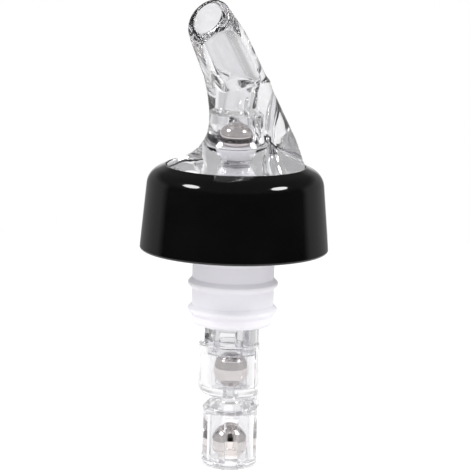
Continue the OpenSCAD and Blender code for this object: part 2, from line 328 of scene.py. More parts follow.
def finished(shape, name, node, body, slot):
    """Turns a shape into a piece that stands for its node."""
    bmesh.ops.scale(shape, vec=(METRES, METRES, METRES), verts=shape.verts)
    mesh = bpy.data.meshes.new(name)
    shape.to_mesh(mesh)
    shape.free()
    mesh.shade_smooth()
    mesh.set_sharp_from_angle(angle=CRISP_ANGLE)
    mesh.materials.append(bpy.data.materials[FINISHES[slot]])
    piece = bpy.data.objects.new(name, mesh)
    bpy.context.scene.collection.objects.link(piece)
    # Clear plastic lets light through to what it holds
    piece.visible_shadow = slot != CLEAR
    piece.visible_diffuse = slot != CLEAR
    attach(piece, body)
    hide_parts(node)
    return piece


def blend_in(a, b, reach):
    """Lower of two distances with a fillet where they meet."""
    near = np.maximum(reach - np.abs(a - b), 0.0) / reach
    return np.minimum(a, b) - near * near * reach / 4


def blend_off(a, b, reach):
    """Higher of two distances with a rounded edge where they meet."""
    return -blend_in(-a, -b, reach)


def section(origin, tilt, distance):
    """Ring where rays from an inner point, in a plane tilted about Y, leave a shape."""
    angles = FULL_TURN * np.arange(TURN_STEPS) / TURN_STEPS
    across = np.array((math.cos(tilt), 0, -math.sin(tilt)))
    side = np.array((0, 1, 0))
    rays = np.outer(np.cos(angles), across) + np.outer(np.sin(angles), side)
    start = np.array(origin)
    near = np.zeros(TURN_STEPS)
    far = np.full(TURN_STEPS, FAR)
    for _ in range(HALVINGS):
        middle = (near + far) / 2
        within = distance(start + rays * middle[:, None]) < 0
        near = np.where(within, middle, near)
        far = np.where(within, far, middle)
    return [Vector(point) for point in start + rays * near[:, None]]


def spread(first, last, count):
    """Evenly spaced values from first to last, both included."""
    return [first + (last - first) * step / (count - 1) for step in range(count)]


def eased(share):
    """Share from nothing to one that starts and ends slowly."""
    return share * share * (3 - 2 * share)


class PourerSizes(bpy.types.PropertyGroup):
    """Sizes of the spout's outline that a user may want to change"""

    lean: FloatProperty(
        name="Lean",
        description="Lean of the pouring tube from upright",
        default=math.radians(33),
        subtype="ANGLE",
        unit="ROTATION",
    )
    mouth_tilt: FloatProperty(
        name="Mouth Tilt",
        description="Tilt of the mouth's face from level",
        default=math.radians(56),
        subtype="ANGLE",
        unit="ROTATION",
    )
    bend_height: FloatProperty(
        name="Bend Height",
        description="Height of the bend above the bottle's lip",
        default=0.0231,
        subtype="DISTANCE",
        unit="LENGTH",
    )
    pour_length: FloatProperty(
        name="Pouring Length",
        description="Length of the pouring tube from the bend to its mouth",
        default=0.019,
        subtype="DISTANCE",
        unit="LENGTH",
    )
    pour_bore: FloatProperty(
        name="Pouring Bore",
        description="Radius of the pouring bore at the mouth",
        default=0.0035,
        subtype="DISTANCE",
        unit="LENGTH",
    )
    lip_round: FloatProperty(
        name="Lip Rounding",
        description="Radius around the outside of the mouth",
        default=0.0012,
        subtype="DISTANCE",
        unit="LENGTH",
    )
    bend_fillet: FloatProperty(
        name="Bend Fillet",
        description="Reach of the smooth run between the upright chamber and the pouring tube",
        default=0.0024,
        subtype="DISTANCE",
        unit="LENGTH",
    )


class PourerFinishes(bpy.types.PropertyGroup):
    """Colours of the pourer's materials"""

    clear_tint: FloatVectorProperty(
        name="Clear Plastic",
        description="Tint of the clear plastic",
        default=(0.85, 0.85, 0.865, 1.0),
        size=4,
        subtype="COLOR",
    )
    black: FloatVectorProperty(
        name="Black Plastic",
        description="Colour of the gloss black collar",
        default=(0.003, 0.003, 0.0032, 1.0),
        size=4,
        subtype="COLOR",
    )
    white: FloatVectorProperty(
        name="White Plastic",
        description="Colour of the soft white stopper",
        default=(0.85, 0.84, 0.89, 1.0),
        size=4,
        subtype="COLOR",
    )
    steel: FloatVectorProperty(
        name="Steel",
        description="Colour of the polished balls",
        default=(0.76, 0.715, 0.695, 1.0),
        size=4,
        subtype="COLOR",
    )


class PourerStudio(bpy.types.PropertyGroup):
    """Camera and light of the studio"""

    azimuth: FloatProperty(
        name="Azimuth",
        description="Camera's turn about the upright axis",
        default=math.radians(130.2),
        subtype="ANGLE",
        unit="ROTATION",
    )
    elevation: FloatProperty(
        name="Elevation",
        description="Camera's height angle above the object",
        default=math.radians(10),
        subtype="ANGLE",
        unit="ROTATION",
    )
    distance: FloatProperty(
        name="Distance",
        description="Distance from the camera to the point it looks at",
        default=0.715,
        subtype="DISTANCE",
        unit="LENGTH",
    )
    lens: FloatProperty(
        name="Lens",
        description="Focal length of the camera",
        default=247.0,
        subtype="DISTANCE_CAMERA",
        unit="CAMERA",
    )
    roll: FloatProperty(
        name="Roll",
        description="Camera's turn about its own line of sight",
        default=math.radians(1.4),
        subtype="ANGLE",
        unit="ROTATION",
    )
    aim: FloatVectorProperty(
        name="Aim",
        description="Point that the camera looks at",
        default=(-0.0001, 0.00015, -0.0107),
        size=3,
        subtype="TRANSLATION",
        unit="LENGTH",
    )
    box_power: FloatProperty(
        name="Softbox Power",
        description="Power of each of the two softboxes",
        default=1.8,
        unit="POWER",
    )
    room_level: FloatProperty(
        name="Room Level",
        description="Brightness of the room's horizon, which lights the object",
        default=1.0,
    )


def new_finish(slot):
    """Fresh node material with its shader and an Object coordinate input."""
    finish = bpy.data.materials.new(FINISHES[slot])
    finish.use_nodes = True
    tree = finish.node_tree
    place = tree.nodes.new("ShaderNodeTexCoord")
    return tree, tree.nodes["Principled BSDF"], place.outputs["Object"]


def noise(tree, place, scale, detail=3.0, stretch=(1, 1, 1)):
    """Noise pattern on Object coordinates, stretched along the axes."""
    mapping = tree.nodes.new("ShaderNodeMapping")
    mapping.inputs["Scale"].default_value = stretch
    tree.links.new(place, mapping.inputs["Vector"])
    pattern = tree.nodes.new("ShaderNodeTexNoise")
    pattern.inputs["Scale"].default_value = scale
    pattern.inputs["Detail"].default_value = detail
    tree.links.new(mapping.outputs["Vector"], pattern.inputs["Vector"])
    return pattern.outputs["Fac"]


def ranged(tree, value, low, high, start=0.3, end=0.7):
    """Maps a pattern to a range of values."""
    mapped = tree.nodes.new("ShaderNodeMapRange")
    mapped.inputs["From Min"].default_value = start
    mapped.inputs["From Max"].default_value = end
    mapped.inputs["To Min"].default_value = low
    mapped.inputs["To Max"].default_value = high
    tree.links.new(value, mapped.inputs["Value"])
    return mapped.outputs["Result"]


def relief(tree, shader, height, strength, depth):
    """Fine surface relief from a pattern."""
    bump = tree.nodes.new("ShaderNodeBump")
    bump.inputs["Strength"].default_value = strength
    bump.inputs["Distance"].default_value = depth
    tree.links.new(height, bump.inputs["Height"])
    tree.links.new(bump.outputs["Normal"], shader.inputs["Normal"])


def tinted(tree, value, low, high):
    """Colour that drifts between two shades with a pattern."""
    mix = tree.nodes.new("ShaderNodeMix")
    mix.data_type = "RGBA"
    mix.inputs[MIX_A].default_value = low
    mix.inputs[MIX_B].default_value = high
    tree.links.new(value, mix.inputs["Factor"])
    return mix.outputs[MIX_RESULT]


def shade(colour, factor):
    """Colour made darker or lighter by a factor."""
    return tuple(part * factor for part in colour[:3]) + (1.0,)


class POURER_OT_finishes(bpy.types.Operator):
    """Makes the four materials of the pourer"""

    bl_idname = "pourer.finishes"
    bl_label = "Make Finishes"

    clear_ior = 1.57
    plastic_ior = 1.5
    milkiness = 0.7
    milk_radius = (1.0, 0.95, 1.0)
    milk_depth = 0.003

    def execute(self, context):
        finishes = context.scene.pourer_finishes
        self.clear(finishes)
        self.black(finishes)
        self.white(finishes)
        self.steel(finishes)
        return {"FINISHED"}

    def clear(self, finishes):
        """Clear moulded plastic with faint flow waves and a few cloudy spots."""
        tree, shader, place = new_finish(CLEAR)
        tint = tuple(finishes.clear_tint)
        cloud = noise(tree, place, scale=260.0)
        flow = noise(tree, place, scale=190.0, detail=1.0, stretch=(1, 1, 0.35))
        colour = tinted(tree, ranged(tree, cloud, 0, 1), shade(tint, factor=0.985), tint)
        tree.links.new(colour, shader.inputs["Base Color"])
        tree.links.new(ranged(tree, cloud, low=0.0, high=0.02), shader.inputs["Roughness"])
        shader.inputs["IOR"].default_value = self.clear_ior
        shader.inputs["Transmission Weight"].default_value = 1.0
        relief(tree, shader, flow, strength=0.05, depth=0.0002)

    def black(self, finishes):
        """Gloss black plastic with a faint orange peel."""
        tree, shader, place = new_finish(BLACK)
        black = tuple(finishes.black)
        cloud = noise(tree, place, scale=90.0)
        peel = noise(tree, place, scale=900.0, detail=1.0)
        dark = shade(black, factor=0.8)
        pale = shade(black, factor=1.3)
        colour = tinted(tree, ranged(tree, cloud, 0, 1), dark, pale)
        tree.links.new(colour, shader.inputs["Base Color"])
        tree.links.new(ranged(tree, cloud, low=0.05, high=0.08), shader.inputs["Roughness"])
        shader.inputs["IOR"].default_value = self.plastic_ior
        relief(tree, shader, peel, strength=0.05, depth=0.0001)

    def white(self, finishes):
        """Soft milky plastic that lets a little light through."""
        tree, shader, place = new_finish(WHITE)
        white = tuple(finishes.white)
        cloud = noise(tree, place, scale=160.0)
        grain = noise(tree, place, scale=2600.0, detail=2.0)
        colour = tinted(tree, ranged(tree, cloud, 0, 1), shade(white, factor=0.975), white)
        tree.links.new(colour, shader.inputs["Base Color"])
        tree.links.new(ranged(tree, grain, low=0.38, high=0.5), shader.inputs["Roughness"])
        shader.inputs["IOR"].default_value = self.plastic_ior
        shader.inputs["Subsurface Weight"].default_value = self.milkiness
        shader.inputs["Subsurface Radius"].default_value = self.milk_radius
        shader.inputs["Subsurface Scale"].default_value = self.milk_depth
        relief(tree, shader, grain, strength=0.08, depth=0.0001)

    def steel(self, finishes):
        """Polished steel with hair-fine lapping marks."""
        tree, shader, place = new_finish(STEEL)
        steel = tuple(finishes.steel)
        cloud = noise(tree, place, scale=400.0)
        marks = noise(tree, place, scale=3000.0, detail=2.0, stretch=(1, 1, 0.08))
        colour = tinted(tree, ranged(tree, cloud, 0, 1), shade(steel, factor=0.93), steel)
        tree.links.new(colour, shader.inputs["Base Color"])
        tree.links.new(ranged(tree, marks, low=0.06, high=0.13), shader.inputs["Roughness"])
        shader.inputs["Metallic"].default_value = 1.0
        relief(tree, shader, marks, strength=0.04, depth=0.00005)


class POURER_OT_spout(bpy.types.Operator):
    """Builds the clear spout with its chamber, stops, air pocket and vent"""

    bl_idname = "pourer.spout"
    bl_label = "Build Spout"

    # Outside: flange, chamber and leaning tube
    rest_gap = 0.08
    flange_edge_z = 4.85
    flange_round = 0.35
    flare_fillet = 5.6
    chamber_out_r = 6.15
    bend_r = 6.4
    mouth_r = 5.7
    nose_r = 5.2
    nose_growth = 0.2
    # Inside: chamber, roof, throat and bore
    chamber_r = 4.6
    roof_drop = 6.6
    throat_r = 3.25
    bend_bore_r = 2.9
    bend_step = 0.15
    bore_shift = 0.8
    inner_round = 0.25
    # Air pocket, vent and ball stops
    pocket_r = 1.6
    pocket_top_z = 21.0
    vent_z = 19.1
    vent_r = 0.6
    stop_r = 1.15
    stop_at = 4.2
    stop_reach = 1.55
    stop_low_z = 16.45
    stop_turn = math.radians(135)
    # Rings of the skin and the heights and runs between which they lie
    corner_rings = 4
    low_rings = 34
    bend_rings = 26
    pour_rings = 40
    lip_rings = 7
    kink_rings = 24
    chamber_rings = 14
    flare_start = 0.7
    flare_end = 9.0
    upper_start = 9.4
    ring_gap = 0.4
    centre_share = 0.4
    bore_start = 0.8
    bore_end = 0.2
    kink_reach = 2.0
    throat_start = 2.3
    throat_end = 2.2
    roof_above = 2.0
    roof_below = 0.6
    wall_start = 1.0
    wall_end = 0.1

    def execute(self, context):
        self.read(context.scene.pourer_sizes)
        rings = self.outer_rings() + self.inner_rings()
        shell = lofted(rings)
        steps = [("DIFFERENCE", self.pocket()), ("DIFFERENCE", self.vent())]
        steps += [("UNION", self.stop(turn)) for turn in (self.stop_turn, -self.stop_turn)]
        shape = combined(shell, steps)
        finished(shape, "clear_spout", "spout", POURER, CLEAR)
        return {"FINISHED"}

    def read(self, sizes):
        """Takes the user's sizes in millimetres and sets the leaning axis."""
        self.lean = sizes.lean
        self.tilt = sizes.mouth_tilt
        self.bend_z = sizes.bend_height / METRES
        self.pour_len = sizes.pour_length / METRES
        self.bore_r = sizes.pour_bore / METRES
        self.lip = sizes.lip_round / METRES
        self.fillet = sizes.bend_fillet / METRES
        self.bend = Vector((0, 0, self.bend_z))
        self.along = Vector((math.sin(self.lean), 0, math.cos(self.lean)))
        self.mouth = self.bend + self.along * self.pour_len
        self.outward = Vector((math.sin(self.tilt), 0, math.cos(self.tilt)))
        bore_lean = self.lean + math.atan(self.bore_shift / self.pour_len)
        self.bore_along = Vector((math.sin(bore_lean), 0, math.cos(bore_lean)))
        self.bore_len = (self.mouth - self.bend).dot(self.outward) / self.bore_along.dot(self.outward)
        self.bore_mouth = self.bend + self.bore_along * self.bore_len
        self.roof_z = self.bend_z - self.roof_drop
        self.low_z = FLANGE_Z + self.rest_gap

    def leaning(self, point, along, bend_r, mouth_r):
        """Distance to a tapered round tube that leans from the bend."""
        step = point - np.array(self.bend)
        run = step @ np.array(along)
        aside = step - np.outer(run, along)
        growth = (mouth_r - bend_r) / self.pour_len
        return np.linalg.norm(aside, axis=1) - bend_r - growth * run

    def outside(self, point):
        """Distance to the outside of the spout."""
        out = np.hypot(point[:, 0], point[:, 1])
        rim = out - FLANGE_R
        cone = rim * math.sin(FOOT_SLOPE)
        cone += (point[:, 2] - self.flange_edge_z) * math.cos(FOOT_SLOPE)
        flange = blend_off(cone, rim, self.flange_round)
        chamber = np.maximum(out - self.chamber_out_r, point[:, 2] - self.bend_z)
        tube = self.leaning(point, self.along, self.bend_r, self.mouth_r)
        tube = blend_off(tube, self.nose(point), self.flange_round)
        upper = blend_in(chamber, tube, self.fillet)
        return blend_off(blend_in(flange, upper, self.flare_fillet), rim, self.flange_round)

    def nose(self, point):
        """Distance to the taper that thins the mouth's lip."""
        depth = (np.array(self.bore_mouth) - point) @ np.array(self.outward)
        run = depth / self.along.dot(self.outward)
        centre = np.array(self.bore_mouth) - np.outer(run, self.along)
        return np.linalg.norm(point - centre, axis=1) - self.nose_r - self.nose_growth * depth

    def inside(self, point):
        """Distance to the wall of the ball chamber and the pouring bore."""
        out = np.hypot(point[:, 0], point[:, 1])
        wall = out - self.chamber_r
        rise = point[:, 2] - self.roof_z
        roof = (wall + rise) * math.cos(math.pi / 4)
        chamber = blend_off(wall, roof, self.inner_round)
        narrowing = (self.throat_r - self.bend_bore_r) / self.roof_drop
        throat = np.maximum(out - self.throat_r + narrowing * rise, rise - self.roof_drop)
        chamber = blend_in(chamber, throat, self.inner_round)
        step = point - np.array(self.bend)
        bend = np.linalg.norm(step, axis=1) - self.bend_bore_r - self.bend_step
        bore = self.leaning(point, self.bore_along, self.bend_bore_r, self.bore_r)
        bore = np.maximum(bore, -(step @ np.array(self.bore_along)))
        return blend_in(chamber, np.minimum(bend, bore), self.inner_round)

    def outer_rings(self):
        """Rings of the outside, from the flange's underside to the mouth's face."""
        rings = []
        for turn in spread(0, QUARTER_TURN, self.corner_rings):
            inset = self.flange_round * (1 - math.sin(turn))
            height = self.low_z + self.flange_round * (1 - math.cos(turn))
            rings.append(section(self.inner_point(height), 0, lambda p: self.outside(p) + inset))
        heights = spread(FLANGE_Z + self.flare_start, FLANGE_Z + self.flare_end, self.low_rings)
        heights += spread(FLANGE_Z + self.upper_start, self.bend_z, self.bend_rings)
        rings += [section(self.inner_point(height), 0, self.outside) for height in heights]
        last = self.pour_len - self.lip - self.ring_gap
        for run in spread(self.ring_gap, last, self.pour_rings):
            tilt = self.tilt * eased(run / last)
            rings.append(section(self.bend + self.along * run, tilt, self.outside))
        for turn in spread(0, QUARTER_TURN, self.lip_rings):
            inset = self.lip * (1 - math.cos(turn))
            depth = self.lip * (1 - math.sin(turn))
            origin = self.mouth - self.outward * depth
            rings.append(section(origin, self.tilt, lambda p: self.outside(p) + inset))
        return rings

    def inner_point(self, height):
        """Point inside every part of the outside at one height."""
        return Vector(((height - self.bend_z) * math.tan(self.lean) * self.centre_share, 0, height))

    def inner_rings(self):
        """Rings of the inside, from the mouth's face down to the flange's underside."""
        rings = []
        for turn in spread(0, QUARTER_TURN, self.corner_rings):
            inset = self.inner_round * (1 - math.sin(turn))
            depth = self.inner_round * (1 - math.cos(turn))
            origin = self.bend + self.bore_along * (self.bore_len - depth)
            rings.append(section(origin, self.tilt, lambda p: self.inside(p) - inset))
        for run in spread(self.bore_len - self.bore_start, self.bore_end, self.pour_rings):
            tilt = self.tilt * eased(run / self.bore_len)
            rings.append(section(self.bend + self.bore_along * run, tilt, self.inside))
        bend_z = self.bend_z
        roof_z = self.roof_z
        heights = spread(bend_z, bend_z - self.kink_reach, self.kink_rings)
        heights += spread(bend_z - self.throat_start, roof_z + self.throat_end, self.chamber_rings)
        heights += spread(roof_z + self.roof_above, roof_z - self.roof_below, self.kink_rings)
        heights += spread(roof_z - self.wall_start, SEAT_TOP_Z + self.wall_end, self.chamber_rings)
        for height in heights + [SEAT_TOP_Z]:
            rings.append(section(Vector((0, 0, height)), 0, self.inside))
        for height in (SEAT_TOP_Z, SEAT_LOW_Z, self.low_z):
            rings.append(section(Vector((0, 0, height)), 0, self.socket))
        return rings

    def socket(self, point):
        """Distance to the wall of the socket that takes the measuring tube."""
        return np.hypot(point[:, 0], point[:, 1]) - SOCKET_R

    def pocket(self):
        """Round-topped air pocket between the chamber and the back wall."""
        shape = round_ended(self.pocket_r, self.pocket_top_z - self.pocket_r, FLANGE_Z - PAST)
        bmesh.ops.translate(shape, vec=(AIR_X, 0, 0), verts=shape.verts)
        return shape

    def vent(self):
        """Vent hole through the back into the air pocket."""
        shape = bar(self.vent_r, -FLANGE_R, AIR_X, segments=SMALL_STEPS)
        turn = Matrix.Translation((0, 0, self.vent_z)) @ Matrix.Rotation(QUARTER_TURN, 4, "Y")
        bmesh.ops.transform(shape, matrix=turn, verts=shape.verts)
        return shape

    def stop(self, turn):
        """Round-ended stop that keeps the ball off the pouring bore."""
        shape = round_ended(self.stop_r, self.stop_low_z, self.roof_z + self.stop_reach)
        place = Matrix.Rotation(turn, 4, "Z") @ Matrix.Translation((self.stop_at, 0, 0))
        bmesh.ops.transform(shape, matrix=place, verts=shape.verts)
        return shape


class POURER_OT_collar(bpy.types.Operator):
    """Builds the gloss black collar with its shelf"""

    bl_idname = "pourer.collar"
    bl_label = "Build Collar"

    wall = 1.7
    draft = math.radians(5.2)
    shoulder_round = 4.3
    shoulder_steps = 16
    roof_round = 1.2
    rim_round = 0.5

    def execute(self, context):
        side = math.tan(self.draft)
        opening = FLANGE_R + LOOSE_GAP
        height = COLLAR_TOP_Z - COLLAR_RIM_Z
        fall = math.tan(FOOT_SLOPE)
        low = (COLLAR_R - height * side - opening) * fall / (1 - side * fall)
        inner = COLLAR_R - self.wall
        outline = rounded(
            [
                (SHELF_HOLE_R, FLANGE_Z, SOFT),
                (SHELF_HOLE_R, HEAD_TOP_Z, SOFT),
                (inner - (HEAD_TOP_Z - COLLAR_RIM_Z) * side, HEAD_TOP_Z, self.roof_round),
                (inner, COLLAR_RIM_Z, FULL),
                (COLLAR_R, COLLAR_RIM_Z, self.rim_round),
                (COLLAR_R - (height - low) * side, COLLAR_TOP_Z - low, self.shoulder_round),
                (opening, COLLAR_TOP_Z, FINE),
                (opening, FLANGE_Z, KEEN),
            ],
            steps=self.shoulder_steps,
        )
        way = bar(AIR_R + LOOSE_GAP, HEAD_TOP_Z - PAST, FLANGE_Z + PAST, x=AIR_X)
        shape = combined(turned(outline), [("DIFFERENCE", way)])
        finished(shape, "black_collar", "collar", POURER, BLACK)
        return {"FINISHED"}


class POURER_OT_stopper(bpy.types.Operator):
    """Builds the white stopper with its sealing rings"""

    bl_idname = "pourer.stopper"
    bl_label = "Build Stopper"

    ring_count = 4
    ring_pitch = 5.9
    ring_start = 3.4
    ring_land = 0.6
    ring_round = 0.25
    root_land = 2.0
    bore_round = 0.25
    foot_round = 1.1

    def execute(self, context):
        flank = RING_R - BARREL_R
        half = self.ring_land / 2
        corners = [
            (CORK_BORE_R, HEAD_TOP_Z, SOFT),
            (CORK_BORE_R, CORK_END_Z, self.bore_round),
            (BARREL_R, CORK_END_Z, self.foot_round),
        ]
        for index in range(self.ring_count):
            middle = CORK_END_Z + self.ring_start + index * self.ring_pitch
            corners += [
                (BARREL_R, middle - half - flank, FULL),
                (RING_R, middle - half, self.ring_round),
                (RING_R, middle + half, self.ring_round),
                (BARREL_R, middle + half + flank, FULL),
            ]
        corners += [
            (BARREL_R, -self.root_land, SOFT),
            (RING_R, -self.root_land, BROAD),
            (RING_R, 0, SOFT),
            (HEAD_R, 0, FULL),
            (HEAD_R, HEAD_TOP_Z, FULL),
        ]
        way = bar(AIR_HOLE_R, CORK_END_Z - PAST, HEAD_TOP_Z + PAST, x=AIR_X)
        shape = combined(turned(rounded(corners)), [("DIFFERENCE", way)])
        finished(shape, "white_stopper", "cork", POURER, WHITE)
        return {"FINISHED"}


class POURER_OT_tube(bpy.types.Operator):
    """Builds the measuring tube with its inlet ports"""

    bl_idname = "pourer.tube"
    bl_label = "Build Measuring Tube"

    port_turns = (math.radians(-30), math.radians(30))
    port_half = 1.75
    port_low_z = -33.95
    port_high_z = -31.75
    port_round = 0.12

    def execute(self, context):
        corners = [
            (RUN_R, TUBE_TOP_Z - FACE_GAP, FINE),
            (RUN_R, TUBE_END_Z + FACE_GAP, FINE),
            (SEAT_R, TUBE_END_Z + FACE_GAP, FINE),
            (SEAT_R, CUP_TOP_Z + FACE_GAP, 0),
            (TUBE_R, CUP_TOP_Z + FACE_GAP, KEEN),
            (TUBE_R, FLANGE_Z, KEEN),
            (SEAT_R, FLANGE_Z, 0),
            (SEAT_R, TUBE_TOP_Z - FACE_GAP, FINE),
        ]
        steps = []
        for turn in self.port_turns:
            low = (0, -self.port_half, self.port_low_z)
            high = (TUBE_R + PAST, self.port_half, self.port_high_z)
            steps.append(("DIFFERENCE", block(low, high, turn)))
        shape = combined(turned(rounded(corners)), steps, soften=self.port_round)
        finished(shape, "measuring_tube_clear", "measuring_tube", POURER, CLEAR)
        return {"FINISHED"}


class POURER_OT_seat(bpy.types.Operator):
    """Builds the two-sided valve seat"""

    bl_idname = "pourer.seat"
    bl_label = "Build Valve Seat"

    def execute(self, context):
        face = SEAT_MOUTH_R - SEAT_BORE_R
        corners = [
            (SEAT_R, SEAT_LOW_Z, FINE),
            (SEAT_R, SEAT_TOP_Z, FINE),
            (SEAT_MOUTH_R, SEAT_TOP_Z, KEEN),
            (SEAT_BORE_R, SEAT_TOP_Z - face, SOFT),
            (SEAT_BORE_R, SEAT_LOW_Z + face, SOFT),
            (SEAT_MOUTH_R, SEAT_LOW_Z, KEEN),
        ]
        finished(turned(rounded(corners)), "seat_ring", "valve_seat", POURER, WHITE)
        return {"FINISHED"}


class POURER_OT_tail(bpy.types.Operator):
    """Builds the clear tail: timing cup, air column and slotted ball cage"""

    bl_idname = "pourer.tail"
    bl_label = "Build Tail"

    cup_end_z = -46.7
    cup_round = 2.2
    cup_floor_z = -44.75
    bleed_r = 1.1
    lid_top_z = -48.0
    lid_end_z = -50.6
    lid_chamfer = 1.5
    lid_round = 0.5
    axis_r = 0.01
    column_r = 1.675
    web_x = -5.33
    sink = 0.02
    slot_half = 1.4
    slot_top_z = -51.2
    slot_turns = tuple(math.radians(turn) for turn in (45, 135, 225, 315))

    def execute(self, context):
        air_turn_z = (self.lid_top_z + self.lid_end_z) / 2
        cage = [
            (RUN_R, CAP_JOINT_Z, KEEN),
            (CAGE_R, CAP_JOINT_Z, KEEN),
            (CAGE_R, self.lid_top_z - self.lid_chamfer, self.lid_round),
            (CAGE_R - self.lid_chamfer, self.lid_top_z, self.lid_round),
            (self.axis_r, self.lid_top_z, 0),
            (self.axis_r, air_turn_z + AIR_BORE_R, 0),
            (SEAT_BORE_R, air_turn_z + AIR_BORE_R, SOFT),
            (SEAT_BORE_R, self.lid_end_z + SEAT_MOUTH_R - SEAT_BORE_R, SOFT),
            (SEAT_MOUTH_R, self.lid_end_z, KEEN),
            (RUN_R, self.lid_end_z, BROAD),
        ]
        web_half = self.column_r - self.sink
        web_low = (AIR_X, -web_half, self.lid_end_z + self.sink)
        web_high = (self.web_x, web_half, CUP_TOP_Z - self.sink)
        above = COLUMN_TOP_Z + PAST
        steps = [
            ("UNION", bar(self.column_r, self.lid_end_z, COLUMN_TOP_Z, x=AIR_X)),
            ("UNION", block(web_low, web_high)),
            ("UNION", turned(rounded(cage))),
            ("DIFFERENCE", bar(CORK_BORE_R, CUP_TOP_Z + self.sink, above, segments=TURN_STEPS)),
            ("DIFFERENCE", bar(AIR_HOLE_R, BREATHER_LOW_Z, above, x=AIR_X)),
            ("DIFFERENCE", bar(AIR_BORE_R, air_turn_z, COLUMN_TOP_Z, x=AIR_X, segments=TINY_STEPS)),
            ("DIFFERENCE", self.air_turn(air_turn_z)),
        ]
        for turn in self.slot_turns:
            low = (0, -self.slot_half, CAP_JOINT_Z - PAST)
            high = (CAGE_R + 2 * PAST, self.slot_half, self.slot_top_z)
            steps.append(("DIFFERENCE", block(low, high, turn)))
        shape = combined(self.cup(), steps)
        finished(shape, "clear_tail", "tail", POURER, CLEAR)
        return {"FINISHED"}

    def cup(self):
        """Timing cup whose front half stands out past the back half."""
        front = self.cup_outline(CUP_R, self.cup_round)
        back = self.cup_outline(CAGE_R, FULL)
        turns = [FULL_TURN * (step + 0.5) / TURN_STEPS for step in range(TURN_STEPS)]
        rings = []
        for front_point, back_point in zip(front, back):
            ring = []
            for turn in turns:
                reach, height = front_point if math.cos(turn) > 0 else back_point
                ring.append(Vector((reach * math.cos(turn), reach * math.sin(turn), height)))
            rings.append(ring)
        return lofted(rings)

    def cup_outline(self, reach, corner):
        """Outline of the cup's wall, floor and tube socket for one outside radius."""
        return rounded(
            [
                (self.bleed_r, self.cup_end_z, SOFT),
                (reach, self.cup_end_z, corner),
                (reach, CUP_TOP_Z, BROAD),
                (SOCKET_R, CUP_TOP_Z, FINE),
                (SOCKET_R, TUBE_END_Z, KEEN),
                (RUN_R, TUBE_END_Z, KEEN),
                (RUN_R, self.cup_floor_z, BROAD),
                (self.bleed_r, self.cup_floor_z, FINE),
            ]
        )

    def air_turn(self, height):
        """Level bore that leads the air from the column into the lid."""
        shape = bar(AIR_BORE_R, 0, -AIR_X, segments=TINY_STEPS)
        turn = Matrix.Translation((0, 0, height)) @ Matrix.Rotation(-QUARTER_TURN, 4, "Y")
        bmesh.ops.transform(shape, matrix=turn, verts=shape.verts)
        return shape


class POURER_OT_cap(bpy.types.Operator):
    """Builds the cap that closes the ball cage"""

    bl_idname = "pourer.cap"
    bl_label = "Build Cage Cap"

    drain_r = 2.3
    edge_round = 1.3

    def execute(self, context):
        spigot = RUN_R - PRESS_GAP
        corners = [
            (self.drain_r, CAGE_END_Z, SOFT),
            (CAGE_R, CAGE_END_Z, self.edge_round),
            (CAGE_R, CAP_JOINT_Z - FACE_GAP, KEEN),
            (spigot, CAP_JOINT_Z - FACE_GAP, 0),
            (spigot, CAP_SEAT_Z, SOFT),
            (self.drain_r, CAP_SEAT_Z, FINE),
        ]
        finished(turned(rounded(corners)), "cage_cap_clear", "cage_cap", POURER, CLEAR)
        return {"FINISHED"}


class POURER_OT_breather(bpy.types.Operator):
    """Builds the thin breather tube"""

    bl_idname = "pourer.breather"
    bl_label = "Build Breather Tube"

    def execute(self, context):
        corners = [
            (AIR_BORE_R, BREATHER_LOW_Z, KEEN),
            (AIR_R, BREATHER_LOW_Z, FINE),
            (AIR_R, BREATHER_TOP_Z, FINE),
            (AIR_BORE_R, BREATHER_TOP_Z, KEEN),
        ]
        shape = turned(rounded(corners), segments=SMALL_STEPS)
        bmesh.ops.translate(shape, vec=(AIR_X, 0, 0), verts=shape.verts)
        finished(shape, "breather_tube_clear", "breather_tube", POURER, CLEAR)
        return {"FINISHED"}


class POURER_OT_balls(bpy.types.Operator):
    """Builds the three steel balls"""

    bl_idname = "pourer.balls"
    bl_label = "Build Balls"

    subdivisions = 6

    def execute(self, context):
        for name in ("timing_ball", "breather_ball", "spout_ball"):
            low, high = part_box(name)
            shape = bmesh.new()
            place = Matrix.Translation((low + high) / 2 / METRES)
            bmesh.ops.create_icosphere(shape, subdivisions=self.subdivisions, radius=BALL_R, matrix=place)
            finished(shape, "steel_" + name, name, name, STEEL)
        return {"FINISHED"}


